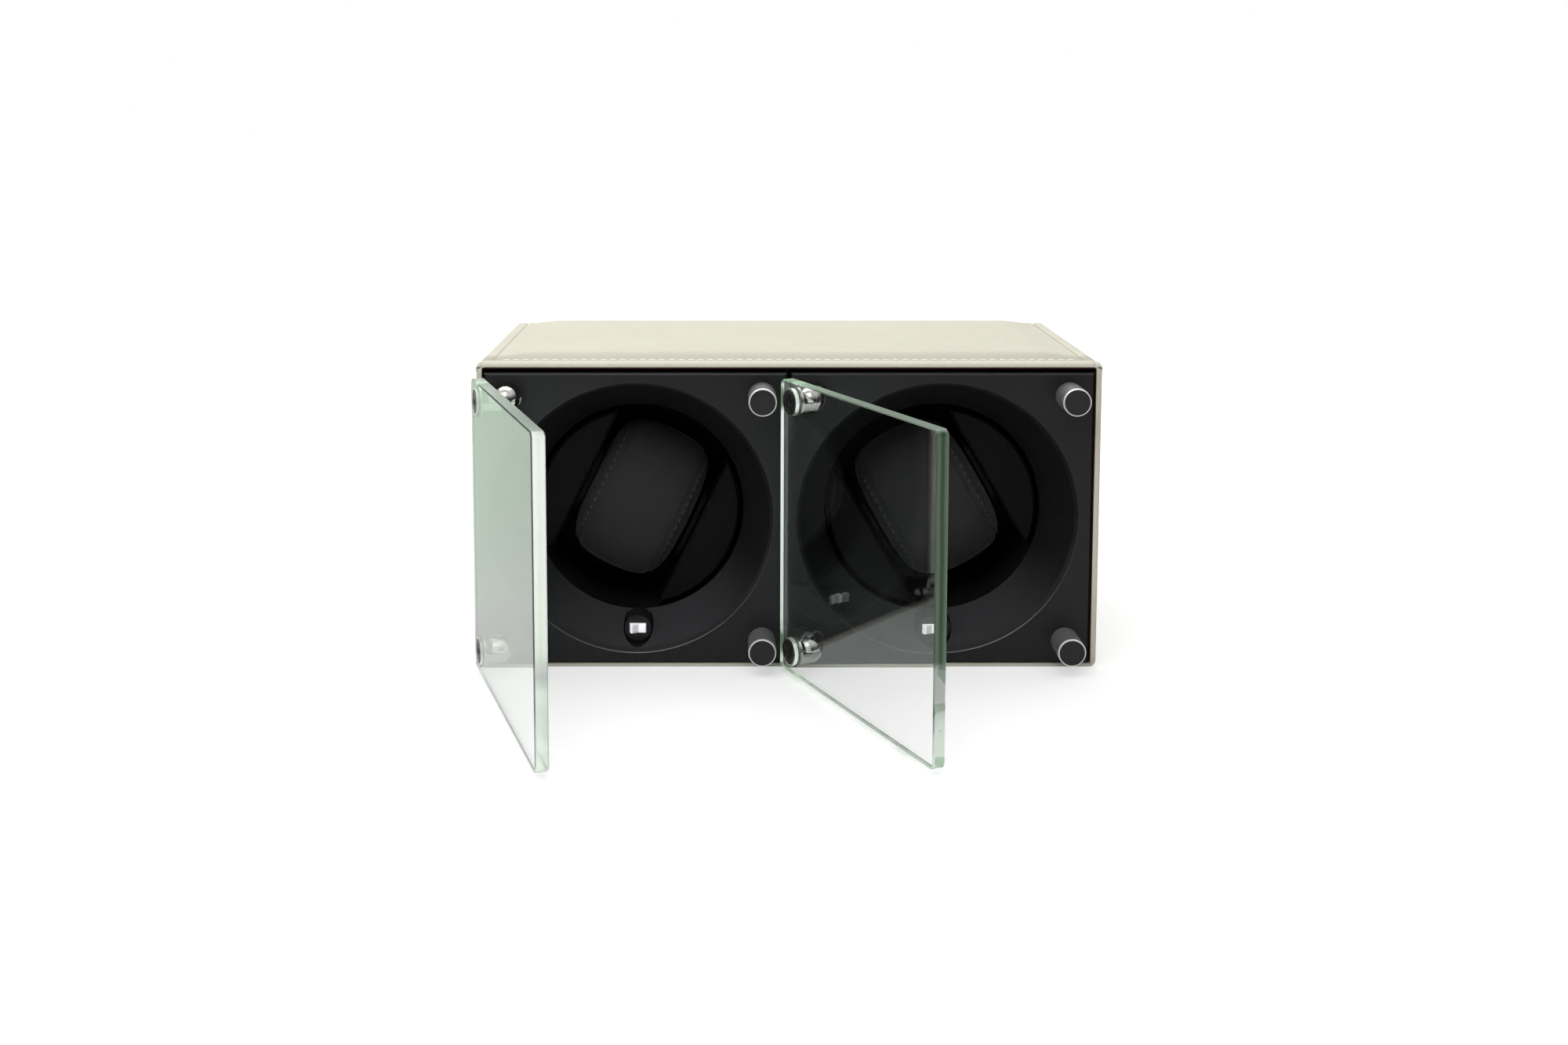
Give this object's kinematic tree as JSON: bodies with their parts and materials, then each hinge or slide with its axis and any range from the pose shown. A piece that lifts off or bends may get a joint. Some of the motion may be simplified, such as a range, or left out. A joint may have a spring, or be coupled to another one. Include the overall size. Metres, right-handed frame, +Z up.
{
  "type": "watch winder box",
  "caption": "Leather-covered watch winder box with slotted rotors turned by geared motors, removable cushion holders, clear rocker switches and glass doors on lap-jointed hinges.",
  "frame": {"origin": "middle of the flat leather base, under the middle of the sleeve", "axes": "+X to the right along the front, +Y to the back, +Z up"},
  "size_m": [0.211, 0.1984, 0.1056],
  "materials": {
    "leather": "pale greige leather, fine grain, low sheen",
    "board": "raw fibreboard",
    "black_plate": "black anodised, satin",
    "black_plastic": "fine satin texture",
    "glass": "polished, green edge",
    "chrome": "polished",
    "satin_aluminium": "satin turned",
    "steel": "ground",
    "black_steel": "black oxide",
    "rubber": "matt",
    "clear_plastic": "clear, polished",
    "cushion_suede": "dark brushed suede cloth",
    "acetal": "white moulded",
    "brass": "cut",
    "circuit": "green coated board"
  },
  "bodies": {
    "root": {"case_sleeve": "board", "leather_top": "leather", "leather_bottom": "leather", "leather_left": "leather", "leather_right": "leather", "stop_posts": "satin_aluminium", "stop_bumpers": "rubber", "hinge_posts": "chrome", "hinge_pins": "steel", "left_front_plate": "black_plate", "left_bowl": "black_plastic", "left_housing": "black_plastic", "left_rear_cover": "black_plastic", "left_pillars": "satin_aluminium", "left_pillar_screws": "steel", "left_cover_screws": "black_steel", "left_bearing_plate": "satin_aluminium", "left_bearings": "steel", "left_motor": "steel", "left_control_board": "circuit", "left_power_inlet": "black_plastic", "left_inlet_contact": "brass", "left_switch_body": "black_plastic", "right_front_plate": "black_plate", "right_bowl": "black_plastic", "right_housing": "black_plastic", "right_rear_cover": "black_plastic", "right_pillars": "satin_aluminium", "right_pillar_screws": "steel", "right_cover_screws": "black_steel", "right_bearing_plate": "satin_aluminium", "right_bearings": "steel", "right_motor": "steel", "right_control_board": "circuit", "right_power_inlet": "black_plastic", "right_inlet_contact": "brass", "right_switch_body": "black_plastic"},
    "left_door": {"left_door_glass": "glass", "left_hinge_knuckles": "chrome", "left_glass_gaskets": "rubber", "left_glass_screws": "black_steel"},
    "left_rotor": {"left_rotor": "black_plastic", "left_rotor_shaft": "steel", "left_drive_gear": "acetal"},
    "left_pinion": {"left_motor_pinion": "brass"},
    "left_holder": {"left_holder_cradle": "black_plastic", "left_holder_cushion": "cushion_suede"},
    "left_rocker": {"left_switch_rocker": "clear_plastic"},
    "right_door": {"right_door_glass": "glass", "right_hinge_knuckles": "chrome", "right_glass_gaskets": "rubber", "right_glass_screws": "black_steel"},
    "right_rotor": {"right_rotor": "black_plastic", "right_rotor_shaft": "steel", "right_drive_gear": "acetal"},
    "right_pinion": {"right_motor_pinion": "brass"},
    "right_holder": {"right_holder_cradle": "black_plastic", "right_holder_cushion": "cushion_suede"},
    "right_rocker": {"right_switch_rocker": "clear_plastic"}
  },
  "joints": [
    {"name": "left_door_swing", "type": "hinge", "parent": "root", "child": "left_door", "pos_m": [-0.09425, -0.0583, 0.0511], "axis": [0, 0, -1], "range_deg": [-71, 14]},
    {"name": "left_rotor_spin", "type": "hinge", "parent": "root", "child": "left_rotor", "pos_m": [-0.05165, 0, 0.0511], "axis": [0, 1, 0], "continuous": true},
    {"name": "left_pinion_spin", "type": "hinge", "parent": "root", "child": "left_pinion", "pos_m": [-0.03344, 0, 0.03289], "axis": [0, 1, 0], "continuous": true},
    {"name": "left_holder_pull", "type": "slide", "parent": "left_rotor", "child": "left_holder", "axis": [0, -1, 0], "range_m": [0, 0.02]},
    {"name": "left_switch_tip", "type": "hinge", "parent": "root", "child": "left_rocker", "pos_m": [-0.05165, -0.0437, 0.0109], "axis": [0, 0, 1], "range_deg": [-24, 0]},
    {"name": "right_door_swing", "type": "hinge", "parent": "root", "child": "right_door", "pos_m": [0.00905, -0.0583, 0.0511], "axis": [0, 0, -1], "range_deg": [-64.8, 20.2]},
    {"name": "right_rotor_spin", "type": "hinge", "parent": "root", "child": "right_rotor", "pos_m": [0.05165, 0, 0.0511], "axis": [0, 1, 0], "continuous": true},
    {"name": "right_pinion_spin", "type": "hinge", "parent": "root", "child": "right_pinion", "pos_m": [0.06986, 0, 0.03289], "axis": [0, 1, 0], "continuous": true},
    {"name": "right_holder_pull", "type": "slide", "parent": "right_rotor", "child": "right_holder", "axis": [0, -1, 0], "range_m": [0, 0.02]},
    {"name": "right_switch_tip", "type": "hinge", "parent": "root", "child": "right_rocker", "pos_m": [0.05165, -0.0437, 0.0109], "axis": [0, 0, 1], "range_deg": [-24, 0]}
  ],
  "couplings": [
    {"joint": "left_pinion_spin", "follows": "left_rotor_spin", "ratio": -3.5714},
    {"joint": "right_pinion_spin", "follows": "right_rotor_spin", "ratio": -3.5714}
  ]
}
